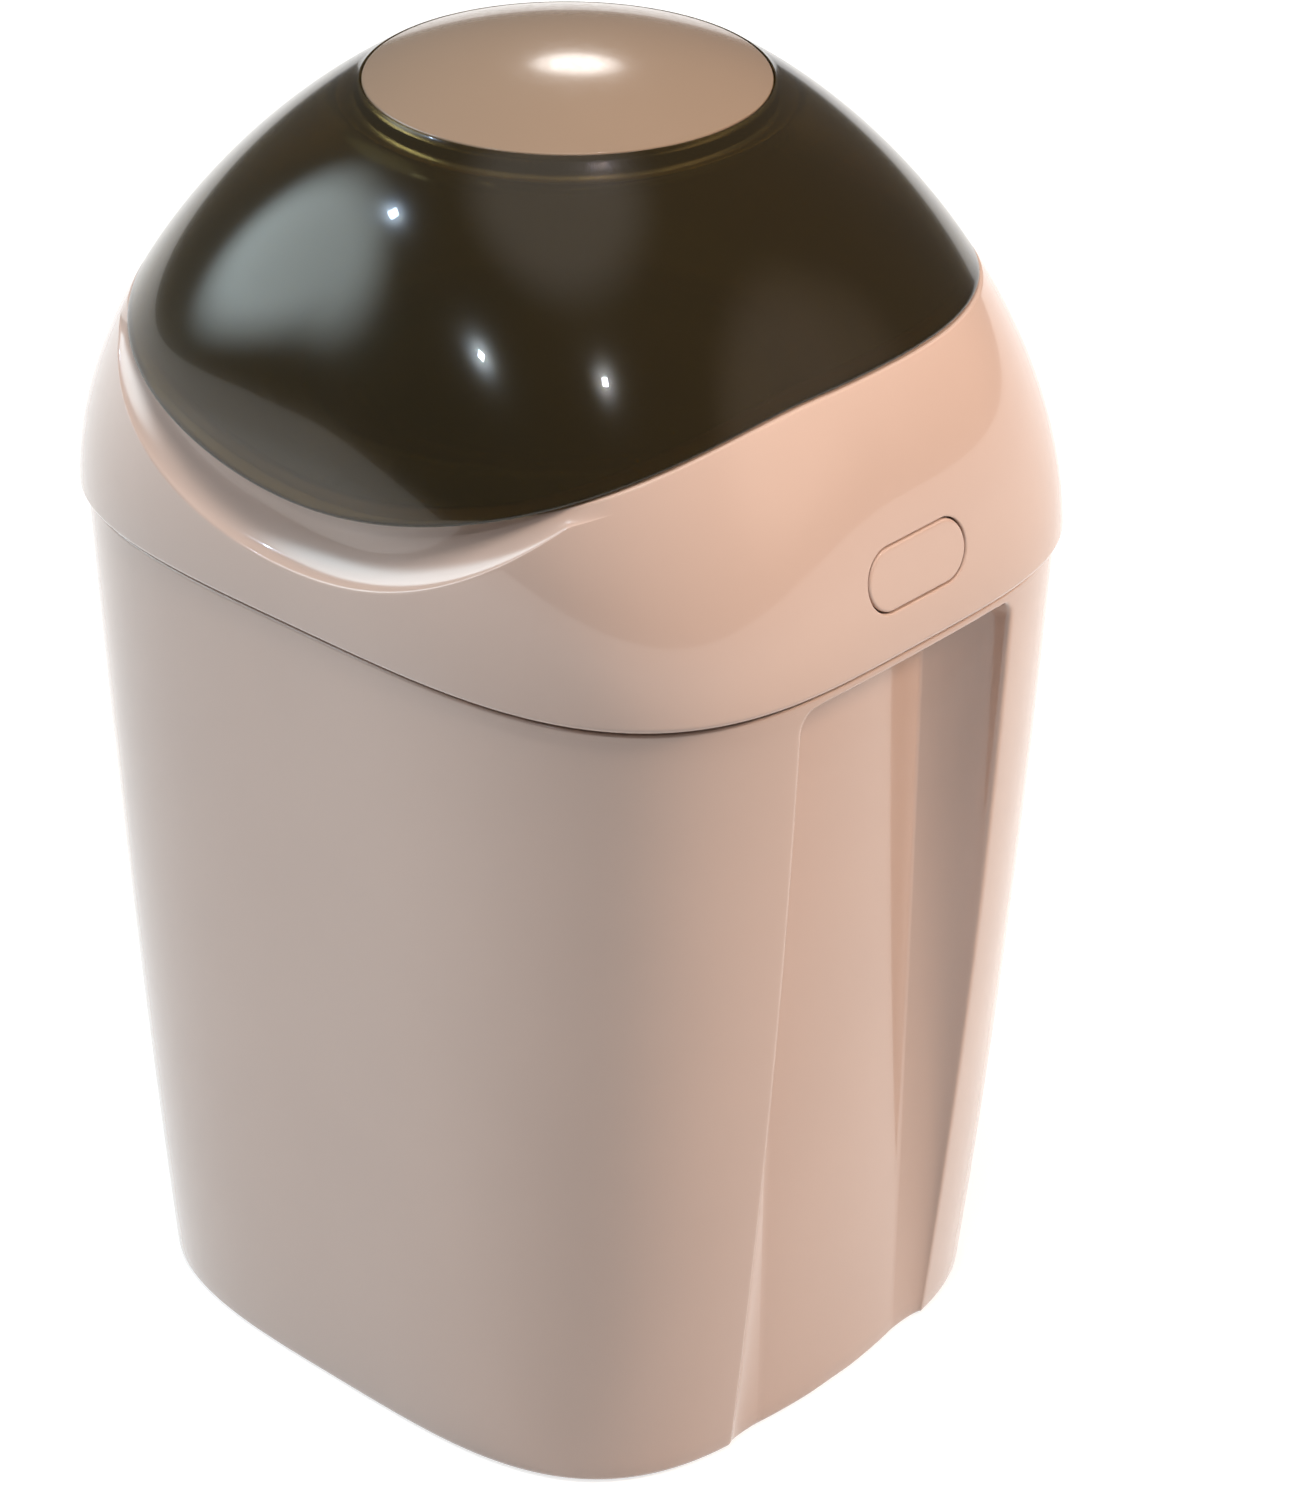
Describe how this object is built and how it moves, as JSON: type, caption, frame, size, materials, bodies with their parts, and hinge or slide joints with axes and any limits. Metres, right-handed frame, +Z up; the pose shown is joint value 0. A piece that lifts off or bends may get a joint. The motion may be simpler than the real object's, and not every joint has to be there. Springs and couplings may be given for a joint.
{
  "type": "nappy bin",
  "caption": "Free-standing nappy bin with a tapered tub, hand recesses, a hinged head with side catch buttons, a turning film cassette and a domed smoked visor lid.",
  "frame": {"origin": "centre of the foot, on the floor", "axes": "+X across the bin towards the right hand recess, -Y the front with the finger scoop, +Z up"},
  "size_m": [0.2644, 0.2327, 0.4018],
  "materials": {
    "shell_pink": "gloss moulded",
    "smoke_lid": "clear smoked gloss",
    "disc_taupe": "gloss moulded",
    "inner_white": "satin moulded",
    "pin_steel": "bright drawn",
    "film": "pleated film"
  },
  "bodies": {
    "tub": {"tub_shell": "shell_pink", "head_hinge_pin": "pin_steel", "catch_right": "inner_white", "catch_left": "inner_white"},
    "head": {"head_shell": "shell_pink", "deck": "inner_white", "deck_screws": "pin_steel", "throat_housing": "inner_white", "housing_screws": "pin_steel", "film_fingers": "inner_white", "cutter_rails": "inner_white", "lid_hinge_pin": "pin_steel", "button_spring_right": "pin_steel", "button_spring_left": "pin_steel"},
    "lid": {"lid_visor": "smoke_lid", "lid_disc": "disc_taupe"},
    "twist_ring_body": {"twist_ring": "inner_white", "cassette_case": "inner_white", "film_pack": "film", "cassette_cover": "disc_taupe"},
    "right_button": {"button_right": "shell_pink", "latch_right": "inner_white"},
    "left_button": {"button_left": "shell_pink", "latch_left": "inner_white"},
    "cutter": {"cutter_bar": "film", "cutter_blade": "pin_steel"}
  },
  "joints": [
    {"name": "head_hinge", "type": "hinge", "parent": "tub", "child": "head", "pos_m": [0, 0.115, 0.258], "axis": [-1, 0, 0], "range_deg": [0, 90]},
    {"name": "lid_hinge", "type": "hinge", "parent": "head", "child": "lid", "pos_m": [0, 0.10744, 0.339], "axis": [-1, 0, 0], "range_deg": [0, 100]},
    {"name": "twist_ring_turn", "type": "hinge", "parent": "head", "child": "twist_ring_body", "pos_m": [0, 0, 0.3], "axis": [0, 0, 1], "continuous": true},
    {"name": "right_button_push", "type": "slide", "parent": "head", "child": "right_button", "axis": [-1, 0, 0], "range_m": [0, 0.004], "stiffness_N_per_m": 400, "springref_m": -0.003, "deforming": ["button_spring_right"]},
    {"name": "left_button_push", "type": "slide", "parent": "head", "child": "left_button", "axis": [1, 0, 0], "range_m": [0, 0.004], "stiffness_N_per_m": 400, "springref_m": -0.003, "deforming": ["button_spring_left"]},
    {"name": "cutter_slide", "type": "slide", "parent": "head", "child": "cutter", "axis": [1, 0, 0], "range_m": [0, 0.1134]}
  ]
}
